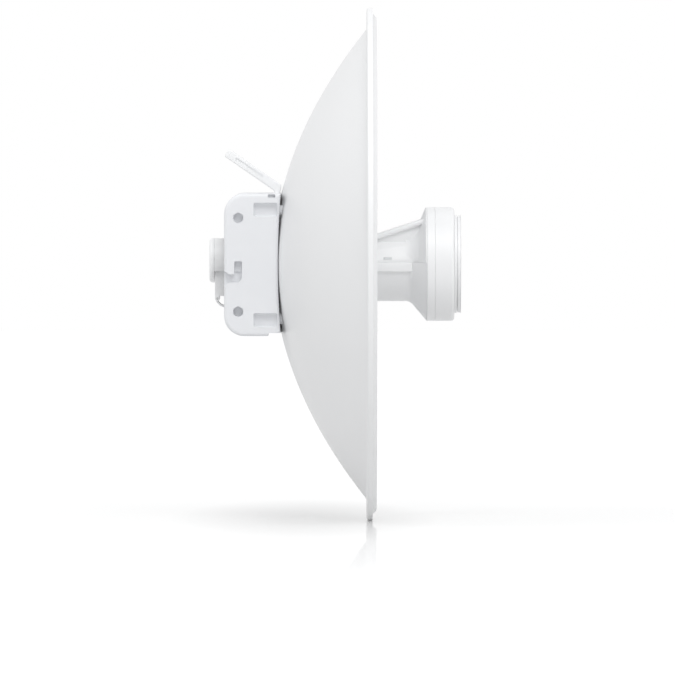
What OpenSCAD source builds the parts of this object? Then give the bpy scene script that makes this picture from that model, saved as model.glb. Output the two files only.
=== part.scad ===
// Parabolic dish antenna with a front feed, a rear hanging bracket and a latch lever.
// +X is the way the dish looks, +Z is up, and the origin is the centre of the hanging bolt.

/* [Dish] */
// Radius over the turned rim
rim_r = 210; // [180:1:260]
// Width of the flat flange round the bowl
rim_flange_w = 17.3; // [12:0.1:24]
// Depth of the turned rim lip
rim_lip = 4.9; // [3:0.1:8]
// Focal length of the bowl
focal_length = 121.2; // [100:0.2:150]
// Thickness of the dish sheet along the axis
sheet_t = 1.4; // [1:0.1:2.5]
// Width of the flat seat round the port in the middle of the dish
seat_w = 9; // [8:0.5:14]
// How far the bowl's virtual bottom lies behind the bracket's front corners
bowl_overlap = 4.8; // [4:0.1:8]

/* [Rim ring] */
// Height of the ring in front of the rim lip
ring_rise = 3.3; // [2:0.1:6]
// Width that the ring's face stands back from the rim's edge
ring_setback = 4.5; // [3:0.1:8]
// Width of the ring's bevel
ring_bevel = 3.3; // [1:0.1:5]

/* [Bracket] */
// Distance from the feed's port to each side face of the bracket
side_room = 13; // [10:0.5:25]
// Distance from the feed's port to the bracket's top and bottom faces
height_room = 21.2; // [20:0.2:40]
// Depth of the bracket from its rear face to its front corners
bracket_depth = 44.5; // [42:0.5:60]
// Wall thickness of the bracket
bracket_wall = 3; // [2.4:0.2:5]
// Radius of the two rear corners
bracket_corner_r = 16.5; // [8:0.5:20]
// Sagitta of the curved front edge
front_sagitta = 1.4; // [1:0.1:4]
// Distance from the hanging bolt's axis to the rear face
bolt_inset = 11.5; // [10:0.5:16]
// Radius of the hanging bolt
hang_bolt_r = 3; // [2.5:0.1:4]
// Side play of the hanging bolt in its slot
hang_play = 0.15; // [0.1:0.05:0.5]
// Radius of the tapped lock holes
lock_hole_r = 4; // [3:0.1:5]
// Depth of the two upper tapped lock holes
lock_hole_depth = 6; // [4:0.5:14]
// How much deeper the two lower tapped lock holes go
lower_hole_extra = 1; // [0.5:0.5:2]
// Distance between the upper and the lower lock hole
lock_spacing = 76.4; // [74:0.2:84]

/* [Dish screws] */
// Distance of the dish screws from the bracket's top or bottom
screw_drop = 14.2; // [12:0.1:16]
// Distance of the dish screws from the bracket's side faces
screw_inset = 12; // [10:0.5:14]
// Radius of a dish screw's shank
screw_r = 2.5; // [2:0.1:3]

/* [Feed] */
// Radius of the hole in the dish and bracket that the feed passes through
port_r = 37; // [36.8:0.1:39]
// Running clearance round the feed's barrel
barrel_play = 0.1; // [0.05:0.01:0.1]
// Radius of the neck
neck_r = 30.4; // [29:0.2:33]
// Length of the neck from its flange to the head
neck_len = 116.8; // [100:0.2:160]
// Wall thickness of the feed's plastic shells
shell_t = 2.2; // [1.6:0.1:3]
// Radius of the head
head_r = 46.6; // [44:0.2:56]
// Length of the head's round side
head_len = 22.6; // [20:0.2:30]
// Width of the head's rear ring
head_ring_len = 6.7; // [5:0.1:8]
// Radius of the front cap
cap_r = 40.2; // [36:0.2:43]
// Height of the front cap
cap_rise = 5.5; // [4:0.1:9]
// Radius of the round hood at the feed's tail
hood_r = 18.2; // [17:0.1:19]
// Height of the hood's centre over the axis
hood_z = 3; // [0:0.5:5]
// Reach of the tail behind the bracket
tail_reach = 8.3; // [7:0.1:14]
// Thickness of the tail's round cap
tail_cap_t = 4.2; // [3:0.1:6]

/* [Lever] */
// Width of the latch lever
lever_w = 24; // [18:1:30]
// Thickness of the lever's arm
lever_t = 7.2; // [5:0.1:9]
// Length of the lever's arm
lever_len = 50; // [35:1:60]
// Angle of the raised arm over the horizontal
lever_rise = 34.6; // [30:0.2:36]
// Swing of the lever from raised to latched
lever_swing = 35; // [30:1:36]
// Radius of the lever's pin
lever_pin_r = 2; // [1.5:0.1:2.5]

/* [Hidden] */
$fn = 96;
EPS = 0.01;
CUT = 1;
JOIN_GAP = 0.05;
FIT_GAP = 0.1;
MOVE_GAP = 0.3;

// The bracket's box
rear_x = -bolt_inset;
front_x = rear_x + bracket_depth;
half_w = port_r + side_room;
bracket_w = 2 * half_w;
half_h = port_r + height_room;
screw_y = half_w - screw_inset;
screw_z = half_h - screw_drop;
front_r = (pow(half_h, 2) + pow(front_sagitta, 2)) / (2 * front_sagitta);
front_mid_x = front_x - front_sagitta;
FRONT_FACETS = 720;
edge_spare = 4;
foot_step_len = 8.6;
foot_step_h = 2.5;

// The bowl: x = vertex + r * r / (4 f)
seat_r = port_r + seat_w;
vertex_x = front_x - bowl_overlap;
bowl_r = rim_r - rim_flange_w;
BOWL_STEPS = 22;
drain_r = 1.2;
ring_lap = 1;
ring_play = 0.15;
function bowl_x(r) = vertex_x + pow(r, 2) / (4 * focal_length);
seat_x = bowl_x(seat_r);
flange_x = bowl_x(bowl_r);
lip_x = flange_x + rim_lip;
function bowl_curve(shift) = [
    for (i = [0 : BOWL_STEPS])
        let (r = seat_r + (bowl_r - seat_r) * i / BOWL_STEPS)
        [r, bowl_x(r) + shift]
];
function flipped(list) = [for (i = [len(list) - 1 : -1 : 0]) list[i]];

// The slot that hangs the bracket on its bolt
slot_depth = 13;
slot_half = hang_bolt_r + hang_play;
slot_top = hang_bolt_r;
slot_floor = -14.4;
slot_roof = -7.8;
slot_corner_r = 5;
slot_lip_top = -4.9;
slot_lip_floor = -18;
slot_lip_x = rear_x + 3.8;

// Pockets beside the dish screws
pocket_x = 12.5;
pocket_depth = 5;
pocket_low = half_h - 18.9;
pocket_high = half_h - 7.4;
pocket_len = front_x - 1 - pocket_x;
small_slot_len = 6;
small_slot_h = 2.7;
small_slot_drop = 3.3;
small_slot_depth = 4;
small_slot_back = 4.3;
block_x = 10;
block_z = half_h - 22;
block_y = half_w - 18;

// The lock holes' bosses
lock_z = lock_spacing / 2;
lock_boss_r = 7.5;
lock_floor = 2.5;
hex_r = 4.9;
hex_depth = 1;

// Dish screws
screw_play = 0.25;
screw_head_r = 4.6;
screw_head_t = 2.6;
head_sink = 0.5;
washer_r = 5.6;
washer_t = 1.2;
nut_r = 4.6;
nut_t = 4;
nut_play = 0.4;
nut_sink = 0.6;
screw_seat_x = bowl_x(norm([screw_y, screw_z]) + washer_r) + sheet_t + JOIN_GAP;

// Pads between the bracket and the dish
pad_x = front_x - 6;
pad_band = 6;
pad_gap = 0.15;
pad_clear = 0.5;
PAD_STEPS = 8;
boss_r = 4.6;

// Collar that the feed slides in
collar_x = front_x - 15;
collar_t = 3;

// Feed: barrel, flange and neck
barrel_r = port_r - barrel_play;
barrel_t = 3;
barrel_x = 8;
window_half = 20;
window_top = 12;
seat_front_x = seat_x + sheet_t;
seal_t = 1;
flange_r = seat_r - 2;
flange_t = 2.2;
flange_lap = 5;
seal_play = 0.1;
seal_inset = 0.5;
neck_flange_x = seat_front_x + seal_t + seal_play;
neck_x = neck_flange_x + flange_t;
head_x = neck_x + neck_len;
head_ring_x = head_x + head_ring_len;
head_front_x = head_x + head_len;
head_edge = 2.2;
cap_lap = 8;
cap_seam = 2.9;
cap_step = 0.4;
cap_edge = 1.2;
cap_wall = 2;
cap_seal_w = 5;
FLARE_STEPS = 8;
lower_flare = [neck_r, 50, 8, 0];
flat_y = 27;
flat_top = 18.4;
split_z = 1.8;
pipe_z = split_z + 2.5;
head_span = head_r + 10;
gusset_slope = 18.4;
gusset_w = 22;
gusset_x = head_x - 60;
gusset_len = 80;
gusset_depth = 20;
pipe_x = head_x - 35.4;
pipe_len = 6.8;
pipe_h = 1.4;
pipe_depth = 5.9;
upper_flare = [flat_y, 67.5, 12, 0.9];

// Feed: electronics
board_t = 1.6;
board_play = 2.2;
board_r = head_r - shell_t - board_play;
radiator_x = head_x + 2;
patch_r = 14;
patch_x = radiator_x - 6;
patch_t = 1;
patch_post_y = patch_r - 4;
patch_post_r = 0.9;
plate_x = head_ring_x + 0.6;
plate_t = 2;
radio_x = plate_x + plate_t + 4.4;
board_post_r = 2;
board_post_y = board_r - 7;
radio_r = board_r - 4;
can_w = 18;
can_h = 24;
can_t = 3;
can_y = 13;
POST_ANGLES = [45, 135, 225, 315];

// Feed: tail
tail_x = rear_x - tail_reach;
tail_screw_y = hood_r + 4.3;
tail_ear_r = hood_r + 7.8;
block_half = 12;
block_top = -5.5;
block_floor = -26;
hood_wall = 2;
block_wall = 1.6;
jack_half = 8;
jack_x = tail_x + 3.4;
jack_len = 13.4;
jack_wall = 2;
jack_floor = block_floor + 1.5;
main_board_z = block_top + 1.7;
main_board_half = 14;
button_r = 1.5;
button_x = jack_x + jack_len + 3;
button_y = 4;
button_len = 10;
button_head_t = 1.5;
button_play = 0.08;
tail_ear_t = 4;
tail_ear_half = 5;
tail_screw_r = 1.5;
tail_screw_head_r = 2.8;
tail_screw_head_t = 2.4;
block_inset = 0.4;
door_drop = 9.2;
door_reach = 7.7;
door_t = 1.6;
door_pin_r = 0.9;
door_pin_x = tail_x + 2.4;
door_pin_z = block_floor - 2.2;
door_knuckle_r = door_pin_r + 1;
door_ear_t = 1.6;
door_half = block_half - door_ear_t - MOVE_GAP;

// Lever: pivot, leg, arm and foot
pivot_x = front_x - 4.5;
pivot_z = half_h - 5.7;
hub_r = 4.2;
pin_play = 0.05;
ear_t = 3.2;
foot_t = 3.2;
foot_half = 6;
lock_bite = 1.8;
leg_room = 7;
foot_len = pivot_z - barrel_r + lock_bite;
bend_x = pivot_x + 2.8;
bend_z = pivot_z + 10.6;
bend_r = 3.2;
lever_tip_r = 1.8;
groove_from = 15;
groove_to = lever_len - 10;
groove_half = 1.2;
groove_depth = 2;
leg_bend = [3.9, 9.8];
LEG_POINTS = [
    [-2.5, 3.2], [3.9, 1.2], [5.5, 6.4], [7.05, 9.4], [2.8, 12], [1, 11.5], [2.2, 6.4]
];

// Shared shapes

// Turns a radius-height outline into a solid of revolution about the X axis
module spun() {
    rotate([0, 90, 0])
        rotate_extrude()
            children();
}

// A rod along X
module rod_x(x, r, len) {
    translate([x, 0, 0])
        rotate([0, 90, 0])
            cylinder(r = r, h = len);
}

// A rod along Y, centred
module rod_y(r, len) {
    rotate([90, 0, 0])
        cylinder(r = r, h = len, center = true);
}

// Raises a side outline (X, Z) to a slab centred on Y
module side_slab(width) {
    rotate([90, 0, 0])
        linear_extrude(height = width, center = true)
            children();
}

// A box given by its two corners
module block(low, high) {
    translate(low)
        cube(high - low);
}

// Places children at the four dish screws
module at_dish_screws() {
    for (side = [-1, 1])
        for (level = [-1, 1])
            translate([0, side * screw_y, level * screw_z])
                children();
}

// Dish

module dish_reflector() {
    back = concat([[port_r, seat_x]], bowl_curve(0), [[rim_r, flange_x], [rim_r, lip_x]]);
    front = concat(
        [[rim_r - sheet_t, lip_x], [rim_r - sheet_t, flange_x + sheet_t]],
        flipped(bowl_curve(sheet_t)),
        [[port_r, seat_x + sheet_t]]
    );
    color("white")
        difference() {
            spun()
                polygon(concat(back, front));
            at_dish_screws()
                rod_x(seat_x, screw_r + screw_play, rim_flange_w);
            translate([flange_x + rim_lip / 2, 0, -rim_r - CUT])
                cylinder(r = drain_r, h = sheet_t + 2 * CUT);
        }
}

module rim_ring() {
    inner = bowl_r + ring_lap;
    outer = rim_r - sheet_t - ring_play;
    face = rim_r - ring_setback - ring_bevel;
    color("white")
        spun()
            polygon([
                [inner, flange_x + sheet_t + JOIN_GAP],
                [outer, flange_x + sheet_t + JOIN_GAP],
                [outer, lip_x],
                [rim_r - ring_setback, lip_x],
                [face, lip_x + ring_rise],
                [inner, lip_x + ring_rise]
            ]);
}

// Bracket

// The bracket's side outline, drawn in by an inset and open at the front
module bracket_outline(inset) {
    corner = max(bracket_corner_r - inset, 1);
    low_x = rear_x + inset;
    high_z = half_h - inset;
    reach = front_x + edge_spare + inset;
    translate([low_x + corner, -high_z])
        square([reach - low_x - corner, 2 * high_z]);
    translate([low_x, -high_z + corner])
        square([corner * 2, 2 * (high_z - corner)]);
    for (level = [-1, 1])
        translate([low_x + corner, level * (high_z - corner)])
            circle(r = corner);
}

// The slot that the hanging bolt enters from the rear and seats in
module hanging_slot() {
    translate([rear_x - CUT, slot_floor])
        square([slot_half - slot_corner_r - rear_x + CUT, slot_roof - slot_floor]);
    translate([slot_half - slot_corner_r, slot_floor + slot_corner_r])
        circle(r = slot_corner_r);
    translate([-slot_half, slot_floor + slot_corner_r])
        square([2 * slot_half, slot_top - slot_floor - slot_corner_r]);
    polygon([
        [rear_x - CUT, slot_lip_top + CUT], [rear_x, slot_lip_top],
        [slot_lip_x, slot_roof], [slot_lip_x, slot_floor],
        [rear_x, slot_lip_floor], [rear_x - CUT, slot_lip_floor - CUT]
    ]);
}

// Depth of a lock hole on the upper or the lower level
function hole_depth(level) = lock_hole_depth + (level < 0 ? lower_hole_extra : 0);

// Corner block that takes a dish screw, and the boss of a lock hole, on one side
module corner_block(side, level) {
    boss_len = hole_depth(level) + lock_floor;
    low_y = min(side * block_y, side * (half_w - EPS));
    low_z = min(level * block_z, level * (half_h - bracket_wall + EPS));
    translate([block_x, low_y, low_z])
        cube([
            front_x + edge_spare - block_x,
            half_w - EPS - block_y,
            half_h - bracket_wall + EPS - block_z
        ]);
    translate([0, side * (half_w - boss_len / 2), level * lock_z])
        rod_y(lock_boss_r, boss_len - EPS);
}

// Side pocket, screw bore, nut room and lock hole of one corner
module corner_cuts(side, level) {
    pocket_y = side > 0 ? half_w - pocket_depth : -half_w - CUT;
    pocket_z = level > 0 ? pocket_low : -pocket_high;
    translate([pocket_x, pocket_y, pocket_z])
        cube([pocket_len, pocket_depth + CUT, pocket_high - pocket_low]);
    translate([0, side * screw_y, level * screw_z]) {
        rod_x(block_x - CUT, screw_r + screw_play, front_x);
        rod_x(block_x - CUT, nut_r + nut_play, CUT + nut_sink + nut_t);
    }
    translate([0, side * (half_w + (CUT - hole_depth(level)) / 2), level * lock_z])
        rod_y(lock_hole_r, hole_depth(level) + CUT);
    translate([0, side * (half_w + (CUT - hex_depth) / 2), level * lock_z])
        rotate([90, 0, 0])
            rotate(30)
                cylinder(r = hex_r, h = hex_depth + CUT, center = true, $fn = 6);
}

// Two ears that carry the lever's pin
module lever_ears() {
    for (side = [-1, 1])
        translate([0, side * (lever_w / 2 + MOVE_GAP + ear_t / 2), 0])
            side_slab(ear_t) {
                translate([pivot_x, pivot_z])
                    circle(r = hub_r);
                translate([pivot_x - hub_r, pivot_z])
                    square([2 * hub_r, half_h - bracket_wall / 2 - pivot_z]);
            }
}

// Walls, corner blocks and ears, with the curved front edge
module bracket_body() {
    difference() {
        union() {
            difference() {
                side_slab(bracket_w)
                    bracket_outline(0);
                side_slab(bracket_w - 2 * bracket_wall)
                    bracket_outline(bracket_wall);
            }
            for (side = [-1, 1])
                for (level = [-1, 1])
                    corner_block(side, level);
            lever_ears();
        }
        translate([front_mid_x + front_r, 0, 0])
            rod_y(front_r, bracket_w + 2 * CUT, $fn = FRONT_FACETS);
    }
}

module dish_bracket() {
    boss_x = bowl_x(norm([screw_y, screw_z]) - boss_r) - pad_gap;
    color("white")
        difference() {
            union() {
                bracket_body();
                // Bosses that the dish is screwed against
                at_dish_screws()
                    rod_x(front_mid_x - hub_r, boss_r, boss_x - front_mid_x + hub_r);
            }
            for (side = [-1, 1])
                for (level = [-1, 1])
                    corner_cuts(side, level);
            // Step at the lower front corner
            block(
                [front_x - foot_step_len, -half_w - CUT, -half_h - CUT],
                [front_x + edge_spare, half_w + CUT, -half_h + foot_step_h]
            );
            // Hanging slots in both side walls
            for (side = [-1, 1])
                translate([0, side * half_w, 0])
                    side_slab(2 * slot_depth)
                        hanging_slot();
            // Round way for the feed's tail
            rod_x(rear_x - CUT, port_r, bracket_wall + 2 * CUT);
            // Way for the lever's leg, and the small slots beside it
            block(
                [pivot_x - leg_room, -lever_w / 2 - MOVE_GAP, half_h - bracket_wall - CUT],
                [front_x + edge_spare, lever_w / 2 + MOVE_GAP, half_h + CUT]
            );
            for (side = [-1, 1])
                translate([
                    pivot_x - small_slot_back,
                    side * half_w - small_slot_depth,
                    half_h - small_slot_drop
                ])
                    cube([small_slot_len, 2 * small_slot_depth, small_slot_h]);
            translate([pivot_x, 0, pivot_z])
                rod_y(lever_pin_r + pin_play, lever_w + 4 * ear_t);
        }
}

// One pad: a bar along Y whose front follows the dish at its inner edge
module dish_pad(from_y, to_y, inner_z) {
    linear_extrude(height = pad_band)
        polygon(concat(
            [[pad_x, to_y], [pad_x, from_y]],
            [
                for (i = [0 : PAD_STEPS])
                    let (y = from_y + (to_y - from_y) * i / PAD_STEPS)
                    [bowl_x(norm([y, inner_z])) - pad_gap, y]
            ]
        ));
}

module dish_pads() {
    inner_z = half_h - bracket_wall - pad_clear - pad_band;
    inner_y = half_w - bracket_wall - pad_clear - pad_band;
    lever_room = lever_w / 2 + MOVE_GAP + ear_t + 2 * pad_clear;
    end_y = block_y - 2 * pad_clear;
    end_z = block_z - 2 * pad_clear;
    color("dimgray") {
        translate([0, 0, -inner_z - pad_band])
            dish_pad(-end_y, end_y, inner_z);
        translate([0, 0, inner_z]) {
            dish_pad(lever_room, end_y, inner_z);
            dish_pad(-end_y, -lever_room, inner_z);
        }
        for (side = [-1, 1])
            rotate([side * 90, 0, 0])
                translate([0, 0, inner_y])
                    dish_pad(-end_z, end_z, inner_y);
    }
}

module feed_collar() {
    color("gainsboro")
        difference() {
            rod_x(collar_x, port_r + collar_t, seat_x - JOIN_GAP - collar_x);
            rod_x(collar_x - CUT, port_r, seat_x - collar_x + 2 * CUT);
            block(
                [collar_x - CUT, -foot_half - CUT, 0],
                [pivot_x + foot_t / 2 + CUT, foot_half + CUT, port_r + collar_t + CUT]
            );
        }
}

module dish_screws() {
    color("silver")
        at_dish_screws() {
            rod_x(screw_seat_x + washer_t + JOIN_GAP, screw_head_r, screw_head_t);
            rod_x(
                block_x - nut_sink,
                screw_r,
                screw_seat_x + washer_t + head_sink + nut_sink - block_x
            );
        }
}

module dish_washers() {
    color("silver")
        at_dish_screws()
            difference() {
                rod_x(screw_seat_x, washer_r, washer_t);
                rod_x(screw_seat_x - CUT, screw_r + screw_play, washer_t + 2 * CUT);
            }
}

module dish_nuts() {
    color("silver")
        at_dish_screws()
            difference() {
                translate([block_x + nut_sink - EPS, 0, 0])
                    rotate([0, 90, 0])
                        cylinder(r = nut_r, h = nut_t, $fn = 6);
                rod_x(block_x - CUT, screw_r + JOIN_GAP, nut_t + nut_sink + 2 * CUT);
            }
}

// Lever

module lever_pin() {
    color("silver")
        translate([pivot_x, 0, pivot_z])
            rod_y(lever_pin_r, lever_w + 2 * MOVE_GAP + 2 * ear_t);
}

// The arm's own frame: its start at the bend, running up and rearward
module along_arm() {
    translate([bend_x, bend_z])
        rotate(180 - lever_rise)
            children();
}

module lever_outline() {
    translate([pivot_x, pivot_z])
        circle(r = hub_r);
    translate([pivot_x, pivot_z])
        polygon(LEG_POINTS);
    translate([pivot_x, pivot_z] + leg_bend)
        circle(r = bend_r);
    along_arm() {
        translate([0, -lever_t / 2])
            square([lever_len - lever_tip_r, lever_t]);
        translate([lever_len - 2 * lever_tip_r, lever_tip_r - lever_t / 2])
            square([2 * lever_tip_r, lever_t - 2 * lever_tip_r]);
        for (side = [-1, 1])
            translate([lever_len - lever_tip_r, side * (lever_t / 2 - lever_tip_r)])
                circle(r = lever_tip_r);
    }
}

module latch_lever() {
    color("white")
        difference() {
            union() {
                side_slab(lever_w)
                    lever_outline();
                translate([pivot_x, 0, pivot_z])
                    rotate([0, lever_swing, 0])
                        block([-foot_t / 2, -foot_half, -foot_len], [foot_t / 2, foot_half, -hub_r / 2]);
            }
            translate([pivot_x, 0, pivot_z])
                rod_y(lever_pin_r + pin_play, lever_w + 2 * CUT);
            for (side = [-1, 1])
                translate([0, side * (lever_w / 2), 0])
                    side_slab(2 * groove_depth)
                        along_arm() {
                            translate([groove_from, -groove_half])
                                square([groove_to - groove_from, 2 * groove_half]);
                            for (end = [groove_from, groove_to])
                                translate([end, 0])
                                    circle(r = groove_half);
                        }
        }
}

// Feed body

module feed_barrel() {
    color("white")
        difference() {
            union() {
                rod_x(barrel_x, barrel_r, neck_flange_x - barrel_x + EPS);
                rod_x(neck_flange_x, flange_r, flange_t);
            }
            rod_x(barrel_x + barrel_t, barrel_r - barrel_t, neck_flange_x - barrel_x - barrel_t);
            rod_x(neck_flange_x - CUT, neck_r - shell_t - flange_lap, flange_t + 2 * CUT);
            block(
                [barrel_x - CUT, -window_half, -window_half],
                [barrel_x + barrel_t + CUT, window_half, window_top]
            );
            // Scoop that the lever's foot swings into
            translate([pivot_x, 0, pivot_z])
                rod_y(norm([foot_len, foot_t / 2]) + MOVE_GAP, 2 * foot_half + CUT);
            // Holes for the tail's screws
            for (side = [-1, 1])
                translate([0, side * tail_screw_y, hood_z])
                    rod_x(barrel_x - CUT, tail_screw_r + FIT_GAP, barrel_t + 3 * CUT);
        }
}

module barrel_seal() {
    color("dimgray")
        difference() {
            rod_x(neck_flange_x - seal_t, flange_r - seal_inset, seal_t - JOIN_GAP);
            rod_x(neck_flange_x - seal_t - CUT, port_r + seal_inset, seal_t + 2 * CUT);
        }
}

// The flare out to the head, as a radius-height outline: a fillet, a cone and a short rim.
// The shape gives its start radius, its cone's slope, its fillet's radius and its rim's length.
function flare_points(shape, inset) =
    let (
        cone_end = head_x - shape[3],
        cone_start = cone_end - (head_r - shape[0]) / tan(shape[1]),
        start = cone_start - shape[2] * tan(shape[1] / 2)
    )
    concat(
        [[0, start + inset]],
        [
            for (i = [0 : FLARE_STEPS])
                let (a = shape[1] * i / FLARE_STEPS)
                [shape[0] - inset + shape[2] * (1 - cos(a)), start + inset + shape[2] * sin(a)]
        ],
        [
            [head_r - inset, cone_end + inset],
            [head_r - inset, head_x + inset + EPS],
            [0, head_x + inset + EPS]
        ]
    );

// The lower half's form: a round neck and its flare
module lower_form(inset) {
    spun()
        polygon(flare_points(lower_flare, inset));
    rod_x(neck_x, neck_r - inset, head_x - CUT - neck_x);
}

// The upper half's form: flat sides and top, a steeper flare and a sloping gusset
module upper_form(inset) {
    spun()
        polygon(flare_points(upper_flare, inset));
    intersection() {
        rod_x(neck_x, neck_r - inset, head_x - CUT - neck_x);
        block([neck_x - CUT, inset - flat_y, -flat_y], [head_x, flat_y - inset, flat_top - inset]);
    }
    intersection() {
        translate([gusset_x, 0, flat_top - inset])
            rotate([0, -gusset_slope, 0])
                block([0, -gusset_w + inset, -gusset_depth], [gusset_len, gusset_w - inset, 0]);
        block([gusset_x, -gusset_w, 0], [head_x - CUT, gusset_w, head_r]);
    }
}

module neck_lower_shell() {
    color("white")
        difference() {
            lower_form(0);
            lower_form(shell_t);
            block([neck_x - CUT, -head_span, split_z], [head_x + CUT, head_span, head_span]);
            block([head_x, -head_span, -head_span], [head_x + CUT, head_span, head_span]);
        }
}

module neck_upper_shell() {
    color("white")
        difference() {
            upper_form(0);
            upper_form(shell_t);
            block(
                [neck_x - CUT, -head_span, -head_span],
                [head_x + CUT, head_span, split_z + JOIN_GAP]
            );
            block([head_x, -head_span, -head_span], [head_x + CUT, head_span, head_span]);
            block(
                [pipe_x - FIT_GAP, -flat_y - CUT, pipe_z - FIT_GAP],
                [pipe_x + pipe_len + FIT_GAP, -flat_y + shell_t + CUT, pipe_z + pipe_h + FIT_GAP]
            );
        }
}

module light_pipe() {
    color("lightgray")
        block(
            [pipe_x, -flat_y + FIT_GAP, pipe_z],
            [pipe_x + pipe_len, -flat_y + FIT_GAP + pipe_depth, pipe_z + pipe_h]
        );
}

module head_ring() {
    color("white")
        difference() {
            rod_x(head_x + JOIN_GAP, head_r, head_ring_len - JOIN_GAP);
            rod_x(head_x - CUT, head_r - shell_t, head_ring_len + 2 * CUT);
        }
}

module head_shell() {
    color("white")
        difference() {
            spun()
                polygon([
                    [0, head_ring_x + JOIN_GAP], [head_r, head_ring_x + JOIN_GAP],
                    [head_r, head_front_x - head_edge], [head_r - head_edge, head_front_x],
                    [0, head_front_x]
                ]);
            rod_x(head_ring_x - CUT, head_r - shell_t, head_len - head_ring_len + CUT - shell_t);
            rod_x(head_ring_x, cap_r - cap_lap, head_len);
        }
}

module cap_seal() {
    color("dimgray")
        difference() {
            rod_x(head_front_x + JOIN_GAP, cap_r - cap_wall, seal_t);
            rod_x(head_front_x - CUT, cap_r - cap_wall - cap_seal_w, seal_t + 2 * CUT);
        }
}

module front_cap() {
    color("white")
        difference() {
            spun()
                polygon([
                    [0, head_front_x + 2 * JOIN_GAP], [cap_r, head_front_x + 2 * JOIN_GAP],
                    [cap_r, head_front_x + cap_seam], [cap_r - cap_step, head_front_x + cap_seam],
                    [cap_r - cap_step, head_front_x + cap_rise - cap_edge],
                    [cap_r - cap_step - cap_edge, head_front_x + cap_rise],
                    [0, head_front_x + cap_rise]
                ]);
            rod_x(head_front_x - CUT, cap_r - cap_wall + JOIN_GAP, CUT + seal_t + 3 * JOIN_GAP);
            rod_x(head_front_x - CUT, cap_r - cap_lap - CUT, cap_rise + CUT - cap_wall);
        }
}

// Feed electronics

module radiator_board() {
    color("darkgreen")
        difference() {
            rod_x(radiator_x, board_r, board_t);
            for (a = POST_ANGLES)
                rotate([a, 0, 0])
                    translate([0, patch_post_y, 0])
                        rod_x(radiator_x - CUT, patch_post_r + FIT_GAP, board_t + 2 * CUT);
        }
}

module patch_plate() {
    color("goldenrod")
        rod_x(patch_x, patch_r, patch_t);
}

module patch_posts() {
    color("silver")
        for (a = POST_ANGLES)
            rotate([a, 0, 0])
                translate([0, patch_post_y, 0])
                    rod_x(patch_x + patch_t, patch_post_r, radiator_x + board_t - patch_x - patch_t);
}

module ground_plate() {
    color("silver")
        rod_x(plate_x, head_r - shell_t - FIT_GAP, plate_t);
}

module board_posts() {
    color("silver")
        for (a = POST_ANGLES)
            rotate([a, 0, 0])
                translate([0, board_post_y, 0]) {
                    rod_x(plate_x + plate_t, board_post_r, radio_x - plate_x - plate_t);
                    rod_x(radiator_x + board_t, board_post_r, plate_x - radiator_x - board_t);
                }
}

module radio_board() {
    color("darkgreen")
        rod_x(radio_x, radio_r, board_t);
}

module shield_cans() {
    color("silver")
        for (side = [-1, 1])
            translate([radio_x + board_t, side * can_y - can_w / 2, -can_h / 2])
                cube([can_t, can_w, can_h]);
}

module main_board() {
    color("darkgreen")
        block(
            [jack_x + CUT, -main_board_half, main_board_z],
            [patch_x - board_t, main_board_half, main_board_z + board_t]
        );
}

module network_jack() {
    color("silver")
        difference() {
            block(
                [jack_x, -jack_half, jack_floor],
                [jack_x + jack_len, jack_half, main_board_z]
            );
            block(
                [jack_x + jack_wall, -jack_half + jack_wall, jack_floor - CUT],
                [jack_x + jack_len - 2 * jack_wall, jack_half - jack_wall, main_board_z - 2 * jack_wall]
            );
        }
}

module reset_button() {
    color("gray")
        translate([button_x, button_y, block_floor + block_wall / 2]) {
            cylinder(r = button_r, h = button_len);
            translate([0, 0, button_len - EPS])
                cylinder(r = 1.5 * button_r, h = button_head_t);
        }
}

// Feed tail

// The hood's round form, cut off under a level
module hood_form(x, r, len, floor_z) {
    difference() {
        translate([0, 0, hood_z])
            rod_x(x, r, len);
        block([x - CUT, -2 * r, -2 * r], [x + len + CUT, 2 * r, floor_z]);
    }
}

// Two flat ears beside the hood that take the tail's screws
module tail_ears() {
    x = barrel_x - tail_ear_t;
    difference() {
        hood_form(x, tail_ear_r, tail_ear_t - JOIN_GAP, hood_z - tail_ear_half);
        block(
            [x - CUT, -2 * tail_ear_r, hood_z + tail_ear_half],
            [barrel_x + CUT, 2 * tail_ear_r, 2 * tail_ear_r]
        );
    }
}

// Two ears under the block that carry the flap's pin
module door_ears() {
    for (side = [-1, 1])
        translate([0, side * (block_half - door_ear_t / 2), 0])
            side_slab(door_ear_t) {
                translate([door_pin_x, door_pin_z])
                    circle(r = door_knuckle_r);
                translate([door_pin_x - door_knuckle_r, door_pin_z])
                    square([2 * door_knuckle_r, block_floor - door_pin_z + CUT]);
            }
}

module tail_shell() {
    inner = block_half - block_wall;
    jack_end = jack_x + jack_len + 2 * FIT_GAP;
    shell_end = barrel_x - JOIN_GAP;
    color("white")
        difference() {
            union() {
                hood_form(tail_x, hood_r, shell_end - tail_x, block_top);
                block(
                    [tail_x + block_inset, -block_half, block_floor],
                    [shell_end, block_half, block_top + block_wall / 2]
                );
                door_ears();
                tail_ears();
            }
            hood_form(
                tail_x - CUT, hood_r - hood_wall, barrel_x - tail_x + 2 * CUT, block_top + block_wall
            );
            // Room for the jack, open below, and for what lies in front of it
            block(
                [jack_x - CUT, -inner, block_floor - CUT],
                [jack_end + FIT_GAP, inner, block_top + 2 * block_wall]
            );
            block(
                [jack_end, -inner, block_floor + block_wall],
                [barrel_x + CUT, inner, block_top + 2 * block_wall]
            );
            translate([button_x, button_y, block_floor - CUT])
                cylinder(r = button_r + button_play, h = block_wall + 2 * CUT);
            translate([door_pin_x, 0, door_pin_z])
                rod_y(door_pin_r + pin_play, 2 * block_half + 2 * CUT);
            for (side = [-1, 1])
                translate([0, side * tail_screw_y, hood_z])
                    rod_x(barrel_x - tail_ear_t - CUT, tail_screw_r + FIT_GAP, tail_ear_t + 2 * CUT);
        }
}

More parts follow.
